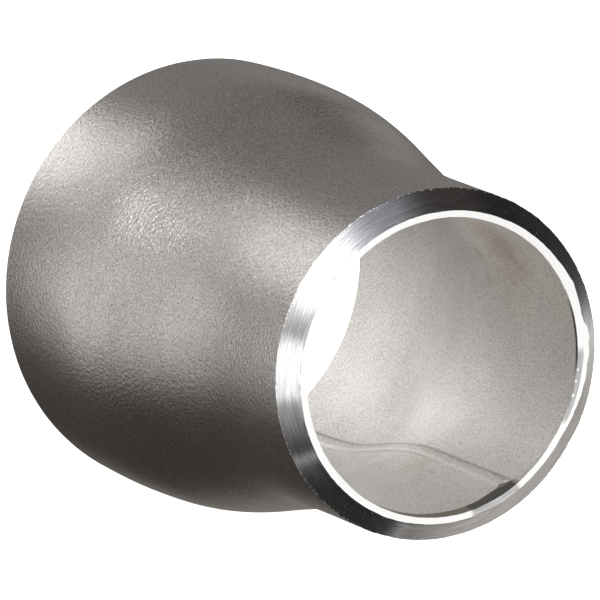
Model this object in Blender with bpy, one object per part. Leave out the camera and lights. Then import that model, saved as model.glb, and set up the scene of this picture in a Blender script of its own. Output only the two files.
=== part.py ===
"""Concentric butt-welding pipe reducer, NPS 2 x 1 1/2, Schedule 40, in welded stainless steel.

Metres, +Z up. The reducer stands on its large end. The origin is where its axis meets the face of
the large end, the small end is straight above it, and the longitudinal seam is at the back, at +Y.
"""

import math

import bmesh
import bpy

MM = 0.001

# The two pipes that the reducer joins, and the distance between its end faces.
LARGE_OD = 60.3 * MM
LARGE_WALL = 3.91 * MM
SMALL_OD = 48.3 * MM
SMALL_WALL = 3.68 * MM
LENGTH = 76.2 * MM

# Outline between the ends: a straight collar at each end, then a shoulder arc, a cone and a neck
# arc that run into one another at a tangent.
LARGE_COLLAR = 19.0 * MM
SMALL_COLLAR = 18.0 * MM
SHOULDER_RADIUS = 45.0 * MM
NECK_RADIUS = 68.0 * MM

# Weld preparation, the same at both ends: a bevel outside, and a flat land left round the bore.
BEVEL_ANGLE = math.radians(37.5)  # from the plane of the end face
ROOT_FACE = 1.3 * MM

# Longitudinal seam weld: ground flush outside, with its root bead left standing in the bore
# except near the ends, where it is dressed down to the bore for the pipes' own welds.
WELD_WIDTH = 2.3 * MM
WELD_CLEARANCE = 0.3 * MM  # to the shell's edges, each side
ROOT_BEAD = 0.7 * MM
BEAD_DRESSED = 3.0 * MM  # from an end face to where the bead starts to rise
BEAD_RUNOUT = 2.0 * MM  # length of that rise

AROUND = 96  # steps in a full turn
ARC_STEPS = 5  # steps in each arc of the outline
WELD_STEPS = 6  # steps across the weld
CUTTER_MARGIN = 2.0 * MM

SHELL_COLOUR = (0.47, 0.45, 0.42)
SHELL_ROUGHNESS = 0.42
WELD_COLOUR = (0.55, 0.52, 0.47)
WELD_ROUGHNESS = 0.35


def wall_at(height):
    """Wall thickness, which changes evenly from one end to the other."""
    share = height / LENGTH
    return LARGE_WALL + (SMALL_WALL - LARGE_WALL) * share


def cone_slope():
    """Angle between cone and axis at which both arcs meet the cone at a tangent."""
    rise = LENGTH - LARGE_COLLAR - SMALL_COLLAR
    step = (LARGE_OD - SMALL_OD) / 2
    radii = SHOULDER_RADIUS + NECK_RADIUS
    reach = math.hypot(rise, radii - step)
    return math.asin(radii / reach) - math.atan2(radii - step, rise)


def bent_wall():
    """Stations up the two arcs, each (outer radius, outer height, slope)."""
    stations = []
    for i in range(ARC_STEPS + 1):
        slope = cone_slope() * i / ARC_STEPS
        radius = LARGE_OD / 2 - SHOULDER_RADIUS * (1 - math.cos(slope))
        height = LARGE_COLLAR + SHOULDER_RADIUS * math.sin(slope)
        stations.append((radius, height, slope))
    for i in range(ARC_STEPS + 1):
        slope = cone_slope() * (1 - i / ARC_STEPS)
        radius = SMALL_OD / 2 + NECK_RADIUS * (1 - math.cos(slope))
        height = LENGTH - SMALL_COLLAR - NECK_RADIUS * math.sin(slope)
        stations.append((radius, height, slope))
    return stations


def inner_point(radius, height, slope):
    """The bore's point straight through the wall from a point of the outer surface."""
    wall = wall_at(height)
    return radius - wall * math.cos(slope), height - wall * math.sin(slope)


def bevel_height(wall):
    return (wall - ROOT_FACE) * math.tan(BEVEL_ANGLE)


def shell_profile():
    """Closed outline of the wall as (radius, height): up the outside, then down the bore."""
    large_bore = LARGE_OD / 2 - LARGE_WALL
    small_bore = SMALL_OD / 2 - SMALL_WALL
    outside = [(large_bore + ROOT_FACE, 0.0), (LARGE_OD / 2, bevel_height(LARGE_WALL))]
    outside += [(radius, height) for radius, height, _ in bent_wall()]
    outside += [
        (SMALL_OD / 2, LENGTH - bevel_height(SMALL_WALL)),
        (small_bore + ROOT_FACE, LENGTH),
    ]
    bore = [(small_bore, LENGTH)]
    bore += [inner_point(*station) for station in reversed(bent_wall())]
    bore += [(large_bore, 0.0)]
    return outside + bore


def bead_height(height):
    """How far the root bead stands in from the bore at a height."""
    past_dressing = min(height, LENGTH - height) - BEAD_DRESSED
    return ROOT_BEAD * min(max(past_dressing / BEAD_RUNOUT, 0.0), 1.0)


def weld_stations():
    """Sections up the seam as (outer radius, outer height, inner radius, inner height, slope)."""
    large_bore = LARGE_OD / 2 - LARGE_WALL
    small_bore = SMALL_OD / 2 - SMALL_WALL
    stations = [(large_bore + ROOT_FACE, 0.0, large_bore, 0.0, 0.0)]
    for height in (bevel_height(LARGE_WALL), BEAD_DRESSED, BEAD_DRESSED + BEAD_RUNOUT):
        stations.append((LARGE_OD / 2, height, large_bore, height, 0.0))
    for radius, height, slope in bent_wall():
        stations.append((radius, height, *inner_point(radius, height, slope), slope))
    for below in (BEAD_DRESSED + BEAD_RUNOUT, BEAD_DRESSED, bevel_height(SMALL_WALL)):
        stations.append((SMALL_OD / 2, LENGTH - below, small_bore, LENGTH - below, 0.0))
    stations.append((small_bore + ROOT_FACE, LENGTH, small_bore, LENGTH, 0.0))
    return stations


def on_cylinder(across, radius, height):
    """The point of a cylinder that lies a distance across from the seam's line."""
    return across, math.sqrt(radius**2 - across**2), height


def weld_section(outer_radius, outer_height, inner_radius, inner_height, slope):
    """One section of the seam: along the outer surface, then back over the root bead."""
    across = [WELD_WIDTH * (i / WELD_STEPS - 0.5) for i in range(WELD_STEPS + 1)]
    bead = bead_height(inner_height)
    section = [on_cylinder(x, outer_radius, outer_height) for x in across]
    for x in reversed(across):
        proud = bead * (1 - (2 * x / WELD_WIDTH) ** 2)
        radius = inner_radius - proud * math.cos(slope)
        section.append(on_cylinder(x, radius, inner_height - proud * math.sin(slope)))
    return section


def steel(name, colour, roughness):
    material = bpy.data.materials.new(name)
    material.use_nodes = True
    surface = material.node_tree.nodes["Principled BSDF"]
    surface.inputs["Base Color"].default_value = (*colour, 1.0)
    surface.inputs["Metallic"].default_value = 1.0
    surface.inputs["Roughness"].default_value = roughness
    return material


def add_object(name, shape, material):
    """Turn a bmesh into an object, shaded smooth except over its real corners."""
    bmesh.ops.recalc_face_normals(shape, faces=shape.faces)
    mesh = bpy.data.meshes.new(name)
    shape.to_mesh(mesh)
    shape.free()
    mesh.shade_smooth()
    mesh.set_sharp_from_angle(angle=math.radians(25))
    mesh.materials.append(material)
    piece = bpy.data.objects.new(name, mesh)
    bpy.context.scene.collection.objects.link(piece)
    return piece


def make_shell(material):
    """The wall's outline spun round the axis."""
    shape = bmesh.new()
    corners = [shape.verts.new((0.0, -radius, height)) for radius, height in shell_profile()]
    outline = [
        shape.edges.new((corner, corners[(i + 1) % len(corners)]))
        for i, corner in enumerate(corners)
    ]
    bmesh.ops.spin(
        shape,
        geom=corners + outline,
        cent=(0.0, 0.0, 0.0),
        axis=(0.0, 0.0, 1.0),
        angle=math.tau,
        steps=AROUND,
        use_merge=True,
    )
    return add_object("reducer_shell", shape, material)


def make_weld(material):
    """Sections of the seam, bridged from the large end to the small end and closed."""
    shape = bmesh.new()
    rings = []
    for station in weld_stations():
        corners = [shape.verts.new(point) for point in weld_section(*station)]
        ring = [
            shape.edges.new((corner, corners[(i + 1) % len(corners)]))
            for i, corner in enumerate(corners)
        ]
        if rings:
            bmesh.ops.bridge_loops(shape, edges=rings[-1] + ring)
        rings.append(ring)
    bmesh.ops.edgeloop_fill(shape, edges=rings[0])
    bmesh.ops.edgeloop_fill(shape, edges=rings[-1])
    return add_object("seam_weld", shape, material)


def cut_seam_slot(shell):
    """Open the shell along the back, where the edges of the rolled plate face each other."""
    inside = SMALL_OD / 2 - SMALL_WALL - CUTTER_MARGIN
    outside = LARGE_OD / 2 + CUTTER_MARGIN
    shape = bmesh.new()
    bmesh.ops.create_cube(shape, size=1.0)
    cutter = add_object("seam_slot", shape, shell.data.materials[0])
    cutter.location = (0.0, (inside + outside) / 2, LENGTH / 2)
    cutter.scale = (
        WELD_WIDTH + 2 * WELD_CLEARANCE,
        outside - inside,
        LENGTH + 2 * CUTTER_MARGIN,
    )
    cutter.hide_render = True
    cutter.display_type = "WIRE"
    cut = shell.modifiers.new("seam_slot", "BOOLEAN")
    cut.operation = "DIFFERENCE"
    cut.solver = "EXACT"
    cut.object = cutter


def main():
    for old in list(bpy.data.objects):
        bpy.data.objects.remove(old, do_unlink=True)
    shell = make_shell(steel("blasted_stainless", SHELL_COLOUR, SHELL_ROUGHNESS))
    cut_seam_slot(shell)
    make_weld(steel("weld_metal", WELD_COLOUR, WELD_ROUGHNESS))


main()
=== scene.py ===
import math

import bmesh
import bpy
import numpy as np
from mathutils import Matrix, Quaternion, Vector, noise
from mathutils.bvhtree import BVHTree


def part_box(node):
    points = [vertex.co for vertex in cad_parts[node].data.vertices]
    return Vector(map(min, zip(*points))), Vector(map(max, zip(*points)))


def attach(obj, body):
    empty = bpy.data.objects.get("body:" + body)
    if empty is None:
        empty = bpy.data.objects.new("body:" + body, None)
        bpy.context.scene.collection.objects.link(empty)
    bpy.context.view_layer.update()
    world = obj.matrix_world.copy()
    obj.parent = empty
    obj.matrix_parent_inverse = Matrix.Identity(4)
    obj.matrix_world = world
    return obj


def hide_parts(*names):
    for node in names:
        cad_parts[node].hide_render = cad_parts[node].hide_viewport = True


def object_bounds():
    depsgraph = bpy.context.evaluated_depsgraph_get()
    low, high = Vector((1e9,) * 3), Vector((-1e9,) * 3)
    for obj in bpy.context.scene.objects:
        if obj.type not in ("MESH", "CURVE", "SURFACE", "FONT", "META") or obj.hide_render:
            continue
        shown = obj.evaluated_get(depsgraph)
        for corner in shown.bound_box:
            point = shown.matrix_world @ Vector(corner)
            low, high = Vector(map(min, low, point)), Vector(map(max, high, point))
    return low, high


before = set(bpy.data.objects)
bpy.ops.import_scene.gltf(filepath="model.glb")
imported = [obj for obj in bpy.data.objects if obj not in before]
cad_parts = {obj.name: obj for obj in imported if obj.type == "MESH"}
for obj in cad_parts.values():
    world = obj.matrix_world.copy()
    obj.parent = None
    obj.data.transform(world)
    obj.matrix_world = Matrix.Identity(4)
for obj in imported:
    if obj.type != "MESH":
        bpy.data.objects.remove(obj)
CAD_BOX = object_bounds()

MM = 0.001
DEG = math.pi / 180

# The frame: the axis is +Z, the large end stands on z = 0 and the seam is at +Y.
# Azimuth 0 is at the seam, and 90 degrees is at +X.
SHELL_NODE = "reducer_shell"
WELD_NODE = "seam_weld"
LENGTH = CAD_BOX[1].z
SEAM_HALF_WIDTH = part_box(WELD_NODE)[1].x
BEVEL_ANGLE = 37.5 * DEG

# Mesh fineness: columns round the axis, and rings along each stretch of the wall's section.
COLUMNS = 480
SEAM_COLUMNS = 28
OUTSIDE_RINGS = 78
BEVEL_RINGS = 8
LAND_RINGS = 3
MOUTH_RINGS = 22
BORE_RINGS = 64
SHARP_EDGE = 30 * DEG

# How the formed wall departs from the drawing: two swells, slow waves, an oval small end, and
# random unevenness.
SHOULDER_SWELL = 0.64 * MM
SWELL_HEIGHT = 11.0 * MM
SWELL_LENGTH = 13.3 * MM
NECK_SWELL = 0.13 * MM
NECK_HEIGHT = 52.3 * MM
NECK_LENGTH = 10.6 * MM
# (lobes round the axis, height, azimuth of a crest) of each slow wave
WAVES = (
    (1, 0.09 * MM, 100 * DEG),
    (2, 0.13 * MM, 23 * DEG),
    (3, 0.04 * MM, -2 * DEG),
)
WAVE_FADE = 50.0 * MM  # the waves fade out over this stretch towards the small end
OVALITY = 0.11 * MM
UNEVENNESS = 0.03 * MM
UNEVEN_LENGTH = 9.0 * MM

# Machined ends. Each land is narrower than drawn, and more so at azimuths 0 and 180.
LAND_TRIM = 0.17 * MM
LAND_TAPER = 0.09 * MM
# The small end was faced by hand: (azimuth in degrees, how much wider its land is, in mm). Where
# that is above 0, the land stands out over the bevel.
LAND_EXTRAS = (
    (-180, -0.2),
    (-150, -0.2),
    (-125, -0.1),
    (-100, 0.1),
    (-84, 0.4),
    (-77, 0.2),
    (-71, 0.1),
    (-67, 0.7),
    (-58, 0.6),
    (-48, 0.4),
    (-38, 0.2),
    (-28, -0.2),
    (-8, -0.1),
    (4, 0.0),
    (25, 0.1),
    (90, 0.0),
    (140, -0.1),
    (180, -0.2),
)
LAND_SOFTENING = 1.2 * DEG  # rounds off the corners of that outline
RAGGED = 0.022 * MM  # how far a machined edge strays
RAGGED_WAVES = (9, 110)  # fewest and most waves of it round the edge
RAGGED_SUM = 24  # how many waves are summed, before repeats are dropped
STANDING_RAGGED = 5.0  # how much more it strays for each mm of land that stands over the bevel
SMALL_BURR = 1.0
LARGE_BURR = 0.3
BURR_WIDTH = 0.06  # share of an end face that its ragged edge takes
BURR_DEPTH = 0.05 * MM  # how far the bore's ragged edge reaches into it
MOUTH_DEPTH = 2.6 * MM  # stretch of the bore with fine rings
MOUTH_SLOPE = 0.14  # slope of the cutter's taper in the mouth
MOUTH_OFFSET = 0.55 * MM  # how far the cutter ran off the axis
MOUTH_SHORTFALL = 0.33 * MM  # how far short of the bore it stays, on the mean
MOUTH_AZIMUTH = 45 * DEG

# The seam: it wanders a little, its bead stands inside the bore, and the wall bulges in beside it.
# (turn, height of its middle, length) of each bend
WANDER = (
    (-1.5 * DEG, 43.0 * MM, 14.0 * MM),
    (1.1 * DEG, 9.0 * MM, 12.0 * MM),
)
SEAM_END_SPREAD = 0.22 * MM
SEAM_SPREAD_LENGTH = 16.0 * MM
BEAD_HEIGHT = 0.36 * MM
BEAD_SHARE = 0.80  # the bead's width as a share of the seam's
BEAD_SHIFT = 0.16  # how far its middle lies to one side, as a share of the seam's half-width
BEAD_TOP = 0.60  # the flat top's share of the bead's width
BEAD_DRESSED = 1.5 * MM  # how far from each end it is dressed off
BEAD_RUNOUT = 0.5 * MM
# (place across the bead from -1 to 1, width, darkening) of each band of painted shade along the
# bead's flanks; a band whose darkening is below 0 is a painted highlight
FLANK_SHADE_AND_HIGHLIGHT_BANDS = (
    (-0.80, 0.30, 0.36),
    (-0.30, 0.50, 0.10),
    (0.80, 0.20, -0.24),
    (1.08, 0.12, 0.12),
)
BULGE_DEPTH = 0.13 * MM
BULGE_AZIMUTH = 4 * DEG
BULGE_WIDTH = 9 * DEG
BULGE_LENGTH = 12.0 * MM
CAP_HEIGHT = 0.05 * MM
CAP_FADE = 4 * MM  # stretch over which the cap rises, after as long a flush stretch at the end


# ---------------------------------------------------------------- outline, read from the CAD

def cad_tree(node):
    """The CAD node's surface, for reading its outline."""
    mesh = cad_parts[node].data
    corners = [v.co.copy() for v in mesh.vertices]
    return BVHTree.FromPolygons(corners, [tuple(p.vertices) for p in mesh.polygons])


SHELL_TREE = cad_tree(SHELL_NODE)
FAR = 1.0
BESIDE_AXIS = 0.01 * MM  # keeps a ray off the mesh's edges
ON_FACE = 0.01 * MM
OUTLINE_STEP = 0.25 * MM
OUTLINE_MARGIN = 2.5 * MM  # leaves the bevels out
OUTLINE_SMOOTHING = 2.0 * MM


def drawn_radius(height, outside):
    """Radius of the CAD wall at a height, on the side away from the seam."""
    start = Vector((BESIDE_AXIS, -FAR if outside else 0.0, height))
    way = Vector((0.0, 1.0 if outside else -1.0, 0.0))
    hit = SHELL_TREE.ray_cast(start, way)[0]
    return -hit.y


def smooth_outline(outside):
    """The CAD outline as (heights, radii), its arcs' facets smoothed by two running means."""
    heights = np.arange(OUTLINE_MARGIN, LENGTH - OUTLINE_MARGIN, OUTLINE_STEP)
    radii = np.array([drawn_radius(h, outside) for h in heights])
    reach = int(OUTLINE_SMOOTHING / OUTLINE_STEP)
    kernel = np.ones(2 * reach + 1) / (2 * reach + 1)
    for _ in range(2):
        padded = np.pad(radii, reach, mode="edge")
        radii = np.convolve(padded, kernel, mode="valid")
    return heights, radii


OUTSIDE_OUTLINE = smooth_outline(True)
BORE_OUTLINE = smooth_outline(False)


def land_radius(face):
    """Outer radius of the flat land of an end face, read from the CAD."""
    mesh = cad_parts[SHELL_NODE].data
    return max(
        math.hypot(v.co.x, v.co.y)
        for v in mesh.vertices
        if abs(v.co.z - face) < ON_FACE
    )


# ---------------------------------------------------------------- shape of the wall

# Places in the noise, which give the two sides of the wall different unevenness.
OUTSIDE_SEED = 0.0
BORE_SEED = 5.0


def bell(x, centre, width):
    return np.exp(-(((x - centre) / width) ** 2))


def form_error(azimuth, height):
    """How far the formed wall stands out from the drawing."""
    swell = SHOULDER_SWELL * bell(height, SWELL_HEIGHT, SWELL_LENGTH)
    swell = swell + NECK_SWELL * bell(height, NECK_HEIGHT, NECK_LENGTH)
    fade = np.clip((LENGTH - height) / WAVE_FADE, 0.0, 1.0)
    for lobes, depth, crest in WAVES:
        swell = swell + depth * fade * np.cos(lobes * (azimuth - crest))
    return swell - OVALITY * (1.0 - fade) * np.cos(2 * azimuth)


def uneven(azimuth, height, radius, seed):
    """Slow random undulation of a rolled and pressed wall."""
    rise = []
    for a, h, r in np.broadcast(azimuth, height, radius):
        place = Vector((r * math.sin(a), r * math.cos(a), h)) / UNEVEN_LENGTH
        rise.append(noise.noise(place + Vector((seed, 0.0, 0.0))))
    return UNEVENNESS * np.array(rise)


def outside_radius(azimuth, height):
    radius = np.interp(height, *OUTSIDE_OUTLINE) + form_error(azimuth, height)
    return radius + uneven(azimuth, height, radius, OUTSIDE_SEED)


def raw_bore_radius(azimuth, height):
    """The bore as formed, with the wall bulging in a little beside the seam at the small end."""
    turn = (azimuth + math.pi) % (2 * math.pi) - math.pi
    bulge = bell(turn, BULGE_AZIMUTH, BULGE_WIDTH) * bell(height, LENGTH, BULGE_LENGTH)
    radius = np.interp(height, *BORE_OUTLINE) + form_error(azimuth, height)
    return radius + uneven(azimuth, height, radius, BORE_SEED) - BULGE_DEPTH * bulge


def mouth_radius(azimuth, height):
    """The taper that a cutter set a little off the axis leaves inside the small end's mouth."""
    middle = np.interp(LENGTH, *BORE_OUTLINE)
    reach = MOUTH_OFFSET * np.cos(azimuth - MOUTH_AZIMUTH) - MOUTH_SHORTFALL
    return middle + reach - MOUTH_SLOPE * (LENGTH - height)


def bore_radius(azimuth, height):
    return np.maximum(raw_bore_radius(azimuth, height), mouth_radius(azimuth, height))


def ragged(azimuth, depth, seed):
    """A fine irregularity round an edge, made of waves with random heights and phases."""
    rng = np.random.default_rng(seed)
    total = np.zeros_like(azimuth)
    counts = np.unique(np.geomspace(*RAGGED_WAVES, RAGGED_SUM).astype(int))
    for count in counts:
        total += rng.normal() * np.cos(count * azimuth + rng.uniform(0, 2 * math.pi))
    return depth * total / math.sqrt(len(counts) / 2)


def wander(height):
    """Azimuth of the seam's middle at a height."""
    return sum(turn * bell(height, centre, length) for turn, centre, length in WANDER)


# ---------------------------------------------------------------- section of the wall

OUTSIDE, BEVEL, LAND, BORE = range(4)
BEVEL_GUESS = 1.8 * MM  # depth of a bevel, from which its outer edge is settled onto the wall
SETTLING_ROUNDS = 3


def between(start, end, share):
    """A place between two edges, as a function azimuth -> (radius, height)."""
    def place(azimuth):
        r0, z0 = start(azimuth)
        r1, z1 = end(azimuth)
        return r0 + (r1 - r0) * share, z0 + (z1 - z0) * share
    return place


class MachinedEnd:
    """An end face and its bevel. Each place on it is a function azimuth -> (radius, height)."""

    def __init__(self, face, into, burr, seed):
        """into is 1 or -1, the way from the face into the part, and burr is how ragged it is.

        seed starts the random draws of its three edges.
        """
        self.face = face
        self.into = into
        self.burr = burr
        self.seed = seed
        self.drawn_land = land_radius(face)

    def extra(self, azimuth):
        """How much wider the land is than the cutter left it; the large end's is as cut."""
        if self.face != LENGTH:
            return np.zeros_like(azimuth)
        turns, extras = zip(*LAND_EXTRAS)
        steps = (-LAND_SOFTENING, 0.0, LAND_SOFTENING)
        total = 0.0
        for step in steps:
            turn = ((azimuth + step) / DEG + 180) % 360 - 180
            total = total + np.interp(turn, turns, extras)
        return MM * total / len(steps)

    def cone_radius(self, azimuth):
        """Radius where the bevel's cone meets the face, inside any land left standing over it."""
        radius = self.drawn_land - LAND_TRIM - LAND_TAPER * (1 + np.cos(2 * azimuth))
        return radius + np.minimum(self.extra(azimuth), 0.0)

    def cone_height(self, radius, azimuth):
        depth = (radius - self.cone_radius(azimuth)) * math.tan(BEVEL_ANGLE)
        return self.face + self.into * depth

    def land_edge(self, azimuth):
        standing = np.maximum(self.extra(azimuth), 0.0)
        depth = self.burr * (RAGGED * (1 + STANDING_RAGGED * standing / MM))
        radius = self.cone_radius(azimuth) + standing + ragged(azimuth, depth, self.seed)
        return radius, np.full_like(azimuth, self.face)

    def bevel_edge(self, azimuth):
        stray = ragged(azimuth, self.burr * RAGGED, self.seed + 1)
        height = np.full_like(azimuth, self.face + self.into * BEVEL_GUESS)
        for _ in range(SETTLING_ROUNDS):
            radius = outside_radius(azimuth, height) + stray
            height = self.cone_height(radius, azimuth)
        return radius, height

    def bevel(self, share):
        """A place on the bevel's cone, between its outer edge at 0 and the land's edge at 1."""
        def place(azimuth):
            radius = between(self.bevel_edge, self.land_edge, share)(azimuth)[0]
            return radius, self.cone_height(radius, azimuth)
        return place

    def land(self, share):
        """A place on the face, between the land's outer edge at 0 and the bore's edge at 1."""
        return between(self.land_edge, self.mouth_edge, share)

    def mouth_edge(self, azimuth):
        height = np.full_like(azimuth, self.face)
        stray = ragged(azimuth, self.burr * RAGGED, self.seed + 2)
        return bore_radius(azimuth, height) + stray, height


SMALL_SEED = 10
LARGE_SEED = 20
SMALL_END = MachinedEnd(LENGTH, -1, SMALL_BURR, SMALL_SEED)
LARGE_END = MachinedEnd(0.0, 1, LARGE_BURR, LARGE_SEED)


def outside_at(share):
    """A place on the outside, between the large end's bevel at 0 and the small end's at 1."""
    def place(azimuth):
        radius, low = LARGE_END.bevel_edge(azimuth)
        if share == 0:
            return radius, low
        high = SMALL_END.bevel_edge(azimuth)[1]
        height = low + (high - low) * share
        return outside_radius(azimuth, height), height
    return place


def bore_at(height):
    def place(azimuth):
        heights = np.full_like(azimuth, height)
        return bore_radius(azimuth, heights), heights
    return place


def end_shares(rings):
    """Places from 0 to 1 across an end face, with the outer ones close to the ragged edges."""
    return np.concatenate([[BURR_WIDTH], np.arange(1, rings) / rings, [1 - BURR_WIDTH]])


def wall_stations():
    """The closed run of stations round the wall's section, each (zone, position, place).

    A station's place is a function azimuth -> (radius, height), and its zone is that of the faces
    between it and the next station. Its position is 0 at a bevel's outer edge, 1 where bevel
    meets land, 2 at the bore's edge and 3 inside the bore. On the outside it falls by 1 with each
    ring from the nearer bevel.
    """
    small_true = MachinedEnd(LENGTH, -1, 0.0, SMALL_SEED)
    large_true = MachinedEnd(0.0, 1, 0.0, LARGE_SEED)
    stations = []
    for i in range(OUTSIDE_RINGS):
        stations.append((OUTSIDE, -min(i, OUTSIDE_RINGS - i), outside_at(i / OUTSIDE_RINGS)))
    stations.append((BEVEL, 0, SMALL_END.bevel_edge))
    for share in end_shares(BEVEL_RINGS):
        stations.append((BEVEL, share, small_true.bevel(share)))
    stations.append((LAND, 1, SMALL_END.land_edge))
    for share in end_shares(LAND_RINGS):
        stations.append((LAND, 1 + share, small_true.land(share)))
    stations.append((BORE, 2, SMALL_END.mouth_edge))
    for depth in np.linspace(BURR_DEPTH, MOUTH_DEPTH, MOUTH_RINGS):
        stations.append((BORE, 3, bore_at(LENGTH - depth)))
    for height in np.linspace(LENGTH - MOUTH_DEPTH, BURR_DEPTH, BORE_RINGS)[1:]:
        stations.append((BORE, 3, bore_at(height)))
    stations.append((LAND, 2, LARGE_END.mouth_edge))
    for share in end_shares(LAND_RINGS):
        stations.append((LAND, 2 - share, large_true.land(1 - share)))
    stations.append((BEVEL, 1, LARGE_END.land_edge))
    for share in end_shares(BEVEL_RINGS):
        stations.append((BEVEL, 1 - share, large_true.bevel(1 - share)))
    return stations


STATIONS = wall_stations()
ZONES = [zone for zone, _, _ in STATIONS]


def seam_half_width(height):
    """Half of the seam's width, which spreads a little towards the ends."""
    from_end = np.minimum(height, LENGTH - height)
    return SEAM_HALF_WIDTH + SEAM_END_SPREAD * bell(from_end, 0.0, SEAM_SPREAD_LENGTH)


def seam_edge(radius, height):
    """Half of the seam's width as an azimuth."""
    return np.arcsin(seam_half_width(height) / radius)


def wall_points(columns, around):
    """Radii, heights and azimuths, each [station][column], of the wall or of the seam.

    around(shares, edge, middle) gives the azimuths at shares from 0 to 1, from the seam's
    half-width and middle. Both depend on the place, so they are settled in a few rounds.
    """
    shares = np.linspace(0.0, 1.0, columns)
    rows = []
    for _, _, place in STATIONS:
        radius = np.full(columns, OUTSIDE_OUTLINE[1].mean())
        height = np.full(columns, LENGTH / 2)
        for _ in range(SETTLING_ROUNDS):
            azimuth = around(shares, seam_edge(radius, height), wander(height))
            radius, height = place(azimuth)
        rows.append((radius, height, azimuth))
    return [np.array(rows)[:, i] for i in range(3)]


# ---------------------------------------------------------------- meshes

def to_points(radius, height, azimuth):
    return np.stack([radius * np.sin(azimuth), radius * np.cos(azimuth), height], axis=-1)


def strip_mesh(name, points):
    """A closed body from points [station][column], each station joined to the next."""
    stations, columns, _ = points.shape
    index = np.arange(stations * columns).reshape(stations, columns)
    following = np.roll(index, -1, axis=0)
    corners = np.stack(
        [index[:, :-1], index[:, 1:], following[:, 1:], following[:, :-1]], axis=-1
    )
    faces = corners.reshape(-1, 4).tolist()
    zones = np.repeat(ZONES, columns - 1).tolist()
    faces += [index[::-1, 0].tolist(), index[:, -1].tolist()]
    zones += [BORE, BORE]
    mesh = bpy.data.meshes.new(name)
    mesh.from_pydata(points.reshape(-1, 3).tolist(), [], faces)
    mesh.polygons.foreach_set("material_index", zones)
    mesh.update()
    return mesh


def mark(mesh, radius, height, azimuth, painted_flank_shading):
    """Writes what the materials read.

    cut is how far the mouth is cut, in mm; across is the station's position; the last argument is
    the painted shade on the bead's flanks, and is below 0 where a highlight is painted on them.
    """
    raw = raw_bore_radius(azimuth.ravel(), height.ravel()).reshape(radius.shape)
    in_bore = np.array(ZONES)[:, None] == BORE
    cut = np.where(in_bore, mouth_radius(azimuth, height) - raw, 0.0)
    positions = np.array([position for _, position, _ in STATIONS])
    across = np.broadcast_to(positions[:, None], radius.shape)
    painted_flank_shading = np.broadcast_to(painted_flank_shading, radius.shape)
    for name, values in (("cut", cut / MM), ("across", across), ("painted_flank_shading", painted_flank_shading)):
        layer = mesh.attributes.new(name, "FLOAT", "POINT")
        layer.data.foreach_set("value", values.ravel().astype(np.float32))


def shell_mesh():
    """The wall, all the way round from one edge of the seam to the other."""
    def around(shares, edge, middle):
        return middle + edge + (2 * math.pi - 2 * edge) * shares

    radius, height, azimuth = wall_points(COLUMNS, around)
    mesh = strip_mesh("shell", to_points(radius, height, azimuth))
    mark(mesh, radius, height, azimuth, 0.0)
    return mesh


def seam_mesh():
    """The weld: a strip through the wall, with a flat-topped bead inside and a low cap outside."""
    def around(shares, edge, middle):
        return middle + edge * (2 * shares - 1)

    radius, height, azimuth = wall_points(SEAM_COLUMNS, around)
    in_bore = np.array(ZONES)[:, None] == BORE
    outside = np.array(ZONES)[:, None] == OUTSIDE
    across = (azimuth - wander(height)) * radius / seam_half_width(height)
    from_end = np.minimum(height, LENGTH - height)
    bead = (across - BEAD_SHIFT) / BEAD_SHARE
    fall = np.clip((1.0 - np.abs(bead)) / (1.0 - BEAD_TOP), 0.0, 1.0)
    rise = np.clip((from_end - BEAD_DRESSED) / BEAD_RUNOUT, 0.0, 1.0)
    radius = radius - np.where(in_bore, BEAD_HEIGHT * rise * fall * (2.0 - fall), 0.0)
    cap = np.clip(from_end / CAP_FADE - 1, 0, 1) * np.cos(across * math.pi / 2)
    radius = radius + np.where(outside, CAP_HEIGHT * cap, 0.0)
    # Painted shade and painted highlight in bands along the bead's flanks
    tint = sum(dark * bell(bead, place, width) for place, width, dark in FLANK_SHADE_AND_HIGHLIGHT_BANDS)
    painted_flank_shading = np.where(in_bore, rise * tint, 0.0)
    mesh = strip_mesh("seam", to_points(radius, height, azimuth))
    mark(mesh, radius, height, azimuth, painted_flank_shading)
    return mesh


def add_piece(name, mesh, node, materials):
    """Shows the mesh in place of a CAD node, smooth but for its sharp edges."""
    work = bmesh.new()
    work.from_mesh(mesh)
    bmesh.ops.recalc_face_normals(work, faces=work.faces)
    work.to_mesh(mesh)
    work.free()
    mesh.shade_smooth()
    mesh.set_sharp_from_angle(angle=SHARP_EDGE)
    for material in materials:
        mesh.materials.append(material)
    piece = bpy.data.objects.new(name, mesh)
    bpy.context.scene.collection.objects.link(piece)
    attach(piece, "root")
    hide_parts(node)


# ---------------------------------------------------------------- materials

OUTSIDE_COLOUR = (0.530, 0.500, 0.473)
BORE_COLOUR = (0.895, 0.872, 0.838)
BEVEL_COLOUR = (0.62, 0.62, 0.63)
LAND_COLOUR = (0.98, 0.98, 0.97)
# the bright glints painted on the bevel's nicks
NICK_GLINT_COLOUR = (0.95, 0.94, 0.92, 1.0)
# the grey of rubbed and dressed land; in the dressed stretch it is partly a painted darker
# reflection
DULL_LAND_COLOUR = (0.50, 0.50, 0.50)
MACHINED_BORE_COLOUR = (0.42, 0.385, 0.34, 1.0)
DRESSED_BORE_COLOUR = (0.23, 0.225, 0.215, 1.0)
# painted shade just under the small end's mouth
BRINK_SHADE_COLOUR = (0.14, 0.11, 0.10, 1.0)

NOISE_SPAN = (0.3, 0.7)  # most of a noise's values fall between these

# Blasted surfaces
FINE_GRAIN = 2.3  # how much finer the fine grain is than the peel
FINE_SHARE = 0.35
CLOUD_SIZE = 14 * MM
CLOUD_TONES = (0.94, 1.06)
CLOUD_ROUGHNESS = 0.03
SPECK_SIZE = 0.20 * MM
SPECK_SPAN = (0.74, 0.82)  # where in the noise a speck starts and where it is full
SPARKLE = 1.4

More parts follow.
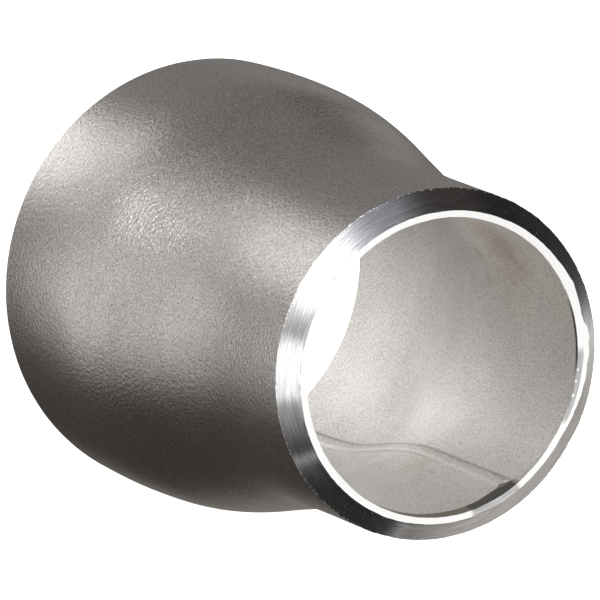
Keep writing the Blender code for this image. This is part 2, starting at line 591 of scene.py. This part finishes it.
# Turned surfaces
LANES = 6500.0  # lathe lanes in each metre across the face
LANE_CHANGE = 5.0  # how fast a lane changes along its way round
LANE_TONES = (0.80, 1.14)
DULL_TONES = (0.75, 1.25)
NICK_SIZE = 0.28 * MM
NICK_SPAN = (0.76, 0.82)
NICK_EDGE = 0.12  # share of the bevel, from its outer edge, where nicks crowd
NICK_CROWDING = 0.25
NICK_ROUGHNESS = 0.4

# Stretches round the small end, each from one azimuth to another
DRESSED = (-2 * DEG, 19 * DEG)
RUBBED = (-60 * DEG, -32 * DEG)
SHADED = (-78 * DEG, -53 * DEG)
RUBBED_POSITIONS = (1.40, 1.55)  # the rubbed part of the land starts between these
CUT_STARTS = (-5 * DEG, -1 * DEG)  # the cutter's taper looks machined from here on
CUT_SHOWS = 0.02  # how far in mm the mouth is cut where the taper fully shows
BRINK_DEPTHS = (0.75 * MM, 0.45 * MM)  # the band of painted shade under the mouth's brink starts between these
# Small dents on the small end's land, painted as bright glints: their azimuths, the radius they lie
# at, and their size
DENT_GLINTS = (-42.5 * DEG, -52.5 * DEG, -48 * DEG)
DENT_GLINT_RADIUS = 20.55 * MM
DENT_GLINT_SIZE = 0.28 * MM

# (place in mm, reach, tint, share) of each faint stain in the bore
STAINS = (
    ((-20.8, 1.2, 50.8), 1.9 * MM, (0.80, 0.76, 0.71), 0.8),
    ((-20.2, 4.8, 51.6), 1.7 * MM, (0.82, 0.78, 0.73), 0.8),
    ((-20.0, 4.0, 58.0), 6.0 * MM, (0.90, 0.87, 0.83), 0.8),
    ((-20.3, -2.5, 62.5), 8.0 * MM, (0.70, 0.64, 0.58), 0.9),
    ((2.6, 20.9, 51.0), 3.4 * MM, (0.92, 0.91, 0.83), 0.8),
)
STAIN_WOBBLE = 2.5 * MM  # size of the waves in a stain's edge


class Finish:
    """A metal whose Principled inputs are driven by procedural textures."""

    def __init__(self, name):
        self.material = bpy.data.materials.new(name)
        self.material.use_nodes = True
        self.tree = self.material.node_tree
        self.surface = self.tree.nodes["Principled BSDF"]
        self.surface.inputs["Metallic"].default_value = 1.0
        self.place = self.add("TexCoord").outputs["Object"]
        self.height = self.add("SeparateXYZ", Vector=self.place).outputs["Z"]

    def add(self, kind, **inputs):
        """A new node, with its inputs given by name; an underscore stands for a space."""
        node = self.tree.nodes.new("ShaderNode" + kind)
        for key, value in inputs.items():
            self.put(node.inputs[key.replace("_", " ")], value)
        return node

    def put(self, socket, value):
        if isinstance(value, bpy.types.NodeSocket):
            self.tree.links.new(value, socket)
        else:
            socket.default_value = value

    def vector(self, operation, a, b=None):
        node = self.tree.nodes.new("ShaderNodeVectorMath")
        node.operation = operation
        self.put(node.inputs[0], a)
        if b is not None:
            self.put(node.inputs[1], b)
        return node.outputs["Value" if operation in ("LENGTH", "DISTANCE") else "Vector"]

    def math(self, operation, a, b=0.0, c=0.0):
        node = self.tree.nodes.new("ShaderNodeMath")
        node.operation = operation
        for socket, value in zip(node.inputs, (a, b, c)):
            self.put(socket, value)
        return node.outputs[0]

    def ramp(self, value, low, high, to_low=0.0, to_high=1.0):
        """value mapped smoothly from low..high to to_low..to_high."""
        node = self.add("MapRange", Value=value, From_Min=low, From_Max=high)
        node.interpolation_type = "SMOOTHSTEP"
        node.inputs["To Min"].default_value = to_low
        node.inputs["To Max"].default_value = to_high
        return node.outputs[0]

    def noise(self, place, scale, detail=2.0, roughness=0.5):
        node = self.add("TexNoise", Vector=place, Scale=scale, Detail=detail, Roughness=roughness)
        return node.outputs[0]

    def attribute(self, name):
        """A value that mark() wrote on the mesh."""
        node = self.add("Attribute")
        node.attribute_name = name
        return node.outputs["Fac"]

    def azimuth(self):
        place = self.add("SeparateXYZ", Vector=self.place)
        return self.math("ARCTAN2", place.outputs["X"], place.outputs["Y"])

    def scaled(self, colour, factor):
        """A colour times a value."""
        node = self.tree.nodes.new("ShaderNodeVectorMath")
        node.operation = "SCALE"
        self.put(node.inputs[0], colour)
        self.put(node.inputs["Scale"], factor)
        return node.outputs[0]

    def mixed(self, share, a, b):
        """Colour a where share is 0 and b where it is 1."""
        node = self.tree.nodes.new("ShaderNodeMix")
        node.data_type = "RGBA"
        self.put(node.inputs["Factor"], share)
        self.put(node.inputs["A"], a)
        self.put(node.inputs["B"], b)
        return node.outputs["Result"]

    def bumped(self, height, depth):
        return self.add("Bump", Height=height, Distance=depth, Strength=1.0).outputs[0]

    def finish(self, paint, rough):
        """Puts the last paint and roughness on the surface, over the finish's own relief."""
        self.put(self.surface.inputs["Base Color"], paint)
        self.put(self.surface.inputs["Roughness"], rough)
        self.put(self.surface.inputs["Normal"], self.normal)
        return self.material


def blasted(name, colour, roughness, grain, depth, speckle):
    """Shot-blasted steel: an orange-peel grain, fine speckle, specks painted bright as glints, and
    faint clouds.

    grain is the peel's size and depth its height; speckle is the contrast of the fine tones.
    """
    steel = Finish(name)
    peel = steel.noise(steel.place, 1 / grain, detail=1.0)
    fine = steel.noise(steel.place, FINE_GRAIN / grain, detail=1.0)
    cloud = steel.noise(steel.place, 1 / CLOUD_SIZE, detail=3.0, roughness=0.55)
    steel.normal = steel.bumped(steel.math("MULTIPLY_ADD", fine, FINE_SHARE, peel), depth)
    tone = steel.math("MULTIPLY_ADD", steel.math("SUBTRACT", fine, 0.5), speckle, 1.0)
    tone = steel.math("MULTIPLY", tone, steel.ramp(cloud, *NOISE_SPAN, *CLOUD_TONES))
    # Specks painted brighter than the steel round them, as painted glints
    speck = steel.noise(steel.place, 1 / SPECK_SIZE, detail=0.0)
    sparkle = steel.ramp(speck, *SPECK_SPAN, 1.0, SPARKLE)
    steel.paint = steel.scaled(colour, steel.math("MULTIPLY", tone, sparkle))
    roughest = roughness + CLOUD_ROUGHNESS
    smoothest = roughness - CLOUD_ROUGHNESS
    steel.rough = steel.ramp(cloud, *NOISE_SPAN, roughest, smoothest)
    return steel


def turned(name, colour, roughness, spread, depth):
    """A face cut on a lathe: lanes round the axis, each with its own height and tone.

    spread is how much more a highlight spreads across the lanes than along them, and depth is
    the lanes' height.
    """
    steel = Finish(name)
    flat = steel.vector("MULTIPLY", steel.place, (1.0, 1.0, 0.0))
    ring = steel.scaled(steel.vector("NORMALIZE", flat), LANE_CHANGE)
    across = steel.math("MULTIPLY", steel.vector("LENGTH", flat), LANES)
    groove = steel.add("CombineXYZ", Z=across).outputs[0]
    steel.lanes = steel.noise(steel.vector("ADD", ring, groove), 1.0, roughness=0.6)
    steel.normal = steel.bumped(steel.lanes, depth)
    steel.paint = steel.scaled(colour, steel.ramp(steel.lanes, *NOISE_SPAN, *LANE_TONES))
    steel.rough = roughness
    tangent = steel.add("Tangent")
    tangent.direction_type = "RADIAL"
    tangent.axis = "Z"
    steel.put(steel.surface.inputs["Tangent"], tangent.outputs[0])
    steel.surface.inputs["Anisotropic"].default_value = spread
    steel.surface.inputs["Anisotropic Rotation"].default_value = 0.25
    return steel


def small_end_stretch(steel, first, last, fade):
    """1 between two azimuths on the small end's half of the part, and 0 elsewhere."""
    azimuth = steel.azimuth()
    starts = steel.ramp(azimuth, first - fade, first + fade)
    ends = steel.ramp(azimuth, last + fade, last - fade)
    upper = steel.ramp(steel.height, LENGTH / 2, LENGTH / 2 + MM)
    return steel.math("MULTIPLY", steel.math("MULTIPLY", starts, ends), upper)


def outside_finish(name):
    steel = blasted(
        name, OUTSIDE_COLOUR, roughness=0.31, grain=0.55 * MM, depth=0.050 * MM, speckle=1.7
    )
    return steel.finish(steel.paint, steel.rough)


def bevel_finish(name):
    """The turned bevel, with small nicks painted as bright glints, which crowd at its outer edge.
    """
    steel = turned(name, BEVEL_COLOUR, roughness=0.20, spread=0.9, depth=0.013 * MM)
    speck = steel.noise(steel.place, 1 / NICK_SIZE, detail=1.0)
    crowding = steel.ramp(steel.attribute("across"), NICK_EDGE, 0.0, 0.0, NICK_CROWDING)
    # Nicks painted as bright glints, crowding at the bevel's outer edge
    nick_glint = steel.ramp(steel.math("ADD", speck, crowding), *NICK_SPAN)
    rough = steel.math("MULTIPLY_ADD", nick_glint, NICK_ROUGHNESS, steel.rough)
    return steel.finish(steel.mixed(nick_glint, steel.paint, NICK_GLINT_COLOUR), rough)


def land_finish(name):
    """The turned land, dull where it is rubbed or dressed, with bright glints painted on small
    dents where rubbed.
    """
    steel = turned(name, LAND_COLOUR, roughness=0.34, spread=0.3, depth=0.002 * MM)
    bright = (*LAND_COLOUR, 1.0)
    inner = steel.ramp(steel.attribute("across"), *RUBBED_POSITIONS)
    rubbed = steel.math("MULTIPLY", small_end_stretch(steel, *RUBBED, 2 * DEG), inner)
    # In the dressed stretch the land is a ground flat; its grey is partly that flat's duller finish
    # and partly a painted darker reflection
    dressed = small_end_stretch(steel, *DRESSED, 1 * DEG)
    dull = steel.math("MAXIMUM", rubbed, dressed)
    grey = steel.scaled(DULL_LAND_COLOUR, steel.ramp(steel.lanes, *NOISE_SPAN, *DULL_TONES))
    paint = steel.mixed(dull, bright, grey)
    # Bright glints painted on small dents
    for azimuth in DENT_GLINTS:
        place = (math.sin(azimuth) * DENT_GLINT_RADIUS, math.cos(azimuth) * DENT_GLINT_RADIUS, LENGTH)
        away = steel.vector("DISTANCE", steel.place, place)
        paint = steel.mixed(steel.ramp(away, DENT_GLINT_SIZE, 0.6 * DENT_GLINT_SIZE), paint, bright)
    return steel.finish(paint, steel.rough)


def bore_finish(name):
    """The blasted bore: stains, the cutter's darker taper in the mouth, painted shade under the
    mouth's brink, and painted shade and highlight on the bead's flanks.
    """
    steel = blasted(
        name, BORE_COLOUR, roughness=0.62, grain=0.50 * MM, depth=0.080 * MM, speckle=1.2
    )
    paint = steel.paint
    wobble = steel.noise(steel.place, 1 / STAIN_WOBBLE, detail=3.0, roughness=0.6)
    for place, reach, tint, share in STAINS:
        away = steel.vector("DISTANCE", steel.place, Vector(place) * MM)
        edge = steel.math("MULTIPLY_ADD", wobble, reach, away)
        stain = steel.ramp(edge, 1.7 * reach, 0.5 * reach, 0.0, share)
        paint = steel.mixed(stain, paint, steel.vector("MULTIPLY", paint, tint))
    cut = steel.ramp(steel.attribute("cut"), 0.0, CUT_SHOWS)
    machined = steel.math("MULTIPLY", cut, steel.ramp(steel.azimuth(), *CUT_STARTS))
    dressed = small_end_stretch(steel, *DRESSED, 0.6 * DEG)
    ground = steel.mixed(dressed, MACHINED_BORE_COLOUR, DRESSED_BORE_COLOUR)
    paint = steel.mixed(machined, paint, ground)
    # A band of painted shade just inside the small end's mouth, under its brink
    brink = steel.ramp(steel.height, *(LENGTH - depth for depth in BRINK_DEPTHS))
    shaded = steel.math("MULTIPLY", brink, small_end_stretch(steel, *SHADED, 5 * DEG))
    paint = steel.mixed(shaded, paint, BRINK_SHADE_COLOUR)
    # Painted shade and painted highlight on the bead's flanks
    paint = steel.scaled(paint, steel.math("SUBTRACT", 1.0, steel.attribute("painted_flank_shading")))
    return steel.finish(paint, steel.rough)


def wall_materials(prefix):
    return [
        outside_finish(prefix + "_outside"),
        bevel_finish(prefix + "_bevel"),
        land_finish(prefix + "_land"),
        bore_finish(prefix + "_bore"),
    ]


add_piece("reducer_wall", shell_mesh(), SHELL_NODE, wall_materials("shell"))
add_piece("seam_bead", seam_mesh(), WELD_NODE, wall_materials("seam"))


# ---------------------------------------------------------------- camera

# The view that the object is seen from: where the lens points, and the camera's place round it.
AIM = Vector((2.89, -6.61, 45.0)) * MM
VIEW_AZIMUTH = 34.9 * DEG
VIEW_ELEVATION = 61.2 * DEG
VIEW_ROLL = 111.2 * DEG
VIEW_DISTANCE = 1.269
LENS = 556.1  # in mm, as the sensor's width is
SENSOR_WIDTH = 36.0


def towards(azimuth, elevation):
    """Unit vector from the object to a place round it; azimuth 0 is -Y and 90 degrees is +X."""
    level = math.cos(elevation)
    return Vector((math.sin(azimuth) * level, -math.cos(azimuth) * level, math.sin(elevation)))


def add_camera():
    data = bpy.data.cameras.new("camera")
    data.lens = LENS
    data.sensor_width = SENSOR_WIDTH
    data.clip_start = 0.05
    data.clip_end = 20.0
    camera = bpy.data.objects.new("camera", data)
    back = towards(VIEW_AZIMUTH, VIEW_ELEVATION)
    turn = (-back).to_track_quat("-Z", "Y") @ Quaternion((0.0, 0.0, 1.0), VIEW_ROLL)
    camera.rotation_mode = "QUATERNION"
    camera.rotation_quaternion = turn
    camera.location = AIM + back * VIEW_DISTANCE
    bpy.context.scene.collection.objects.link(camera)
    bpy.context.scene.camera = camera


# ---------------------------------------------------------------- stage

FLOOR_SIZE = 12.0
FLOOR_GAP = 0.02 * MM
FLOOR_GLOW = 0.95

# Tints of the light; each leaves a grey's brightness as it is.
PLAIN = (1.0, 1.0, 1.0)
WARM = (1.05, 1.0, 0.92)
COOL = (0.95, 1.0, 1.10)

# Each soft round panel of light: (azimuth, elevation, radius, softness, strength, tint). Angles are
# in degrees, and softness is the share of the radius over which the edge fades.
PANELS = (
    (1, 62, 14, 0.55, 7.8, PLAIN),  # the key, high in front
    (0, 68, 13, 0.25, 4.5, PLAIN),  # its brighter upper half
    (21, -13, 13, 0.25, 6.3, PLAIN),  # a small box low in front, for the shoulder's highlight
    (-102, -18, 31, 0.30, 0.8, PLAIN),  # left fill
    (66, 59, 27, 0.35, 0.65, PLAIN),  # right fill
    (68, 46, 13, 0.05, 1.6, PLAIN),  # a hard-edged card in the right fill
    (139, 20, 27, 0.05, 0.55, PLAIN),  # a hard-edged card behind on the right
    (-157, 9, 25, 0.90, 0.6, WARM),  # the wall behind
    (-150, 62, 9, 0.10, 2.4, PLAIN),  # a small box above and behind, for the faced end
    (-29, 50, 20, 0.30, 0.5, COOL),  # a window
    (62, -40, 17, 0.90, 0.9, PLAIN),  # light returned by the table, on the right
    (-52, -46, 42, 0.15, 0.2, PLAIN),  # and on the left
    (4, -55, 14, 0.40, 0.8, PLAIN),  # and in front
    (-13, -79, 9, 0.30, 2.9, PLAIN),  # and from straight below
    (-167, -49, 12, 0.45, 0.3, WARM),  # and behind
)

# Black flags that keep light off: (azimuth, elevation, radius, softness, share taken away).
FLAGS = (
    (138, 16, 25, 0.05, 0.97),  # covers most of the card behind on the right
    (-92, -15, 34, 0.13, 0.97),  # covers most of the left fill
)
SURROUND = (0.057, 0.050, 0.046)  # the faint light from everywhere else


def add_floor():
    """A pale floor that only the camera sees, so that light reaches the object from all round."""
    work = bmesh.new()
    bmesh.ops.create_grid(work, x_segments=8, y_segments=8, size=FLOOR_SIZE / 2)
    mesh = bpy.data.meshes.new("floor")
    work.to_mesh(mesh)
    work.free()
    floor = bpy.data.objects.new("floor", mesh)
    floor.location.z = -FLOOR_GAP
    bpy.context.scene.collection.objects.link(floor)
    floor.visible_diffuse = False
    floor.visible_glossy = False
    floor.visible_transmission = False
    floor.visible_shadow = False
    material = bpy.data.materials.new("pale_floor")
    material.use_nodes = True
    surface = material.node_tree.nodes["Principled BSDF"]
    surface.inputs["Base Color"].default_value = (0.8, 0.8, 0.8, 1.0)
    surface.inputs["Roughness"].default_value = 0.9
    surface.inputs["Emission Color"].default_value = (1.0, 1.0, 1.0, 1.0)
    surface.inputs["Emission Strength"].default_value = FLOOR_GLOW
    mesh.materials.append(material)


class Studio:
    """The world's nodes: soft panels of light and black flags, and plain white to the camera."""

    def __init__(self, surround):
        world = bpy.data.worlds.new("studio")
        bpy.context.scene.world = world
        world.use_nodes = True
        self.tree = world.node_tree
        self.tree.nodes.clear()
        self.way = self.add("TexCoord").outputs["Generated"]
        self.light = surround

    def add(self, kind):
        return self.tree.nodes.new("ShaderNode" + kind)

    def patch(self, azimuth, elevation, radius, softness, outside, inside):
        """A value that goes from outside to inside over the soft edge of a round patch of sky."""
        toward = self.add("VectorMath")
        toward.operation = "DOT_PRODUCT"
        self.tree.links.new(self.way, toward.inputs[0])
        toward.inputs[1].default_value = towards(azimuth * DEG, elevation * DEG)
        fade = self.add("MapRange")
        fade.interpolation_type = "SMOOTHSTEP"
        self.tree.links.new(toward.outputs["Value"], fade.inputs["Value"])
        fade.inputs["From Min"].default_value = math.cos(radius * (1 + softness) * DEG)
        fade.inputs["From Max"].default_value = math.cos(radius * (1 - softness) * DEG)
        fade.inputs["To Min"].default_value = outside
        fade.inputs["To Max"].default_value = inside
        return fade.outputs[0]

    def combine(self, operation, *values):
        node = self.add("VectorMath")
        node.operation = operation
        for socket, value in zip(node.inputs, values):
            if isinstance(value, bpy.types.NodeSocket):
                self.tree.links.new(value, socket)
            else:
                socket.default_value = value
        self.light = node.outputs["Vector"]

    def panel(self, azimuth, elevation, radius, softness, strength, tint):
        lit = self.patch(azimuth, elevation, radius, softness, 0.0, strength)
        self.combine("MULTIPLY_ADD", lit, tint, self.light)

    def flag(self, azimuth, elevation, radius, softness, share):
        kept = self.patch(azimuth, elevation, radius, softness, 1.0, 1.0 - share)
        self.combine("MULTIPLY", kept, self.light)

    def finish(self):
        lights = self.add("Background")
        self.tree.links.new(self.light, lights.inputs["Color"])
        white = self.add("Background")
        white.inputs["Color"].default_value = (1.0, 1.0, 1.0, 1.0)
        seen = self.add("MixShader")
        self.tree.links.new(self.add("LightPath").outputs["Is Camera Ray"], seen.inputs[0])
        self.tree.links.new(lights.outputs[0], seen.inputs[1])
        self.tree.links.new(white.outputs[0], seen.inputs[2])
        self.tree.links.new(seen.outputs[0], self.add("OutputWorld").inputs["Surface"])


def add_studio():
    studio = Studio(SURROUND)
    for panel in PANELS:
        studio.panel(*panel)
    for flag in FLAGS:
        studio.flag(*flag)
    studio.finish()


add_camera()
add_floor()
add_studio()
bpy.context.scene.view_settings.view_transform = "Standard"
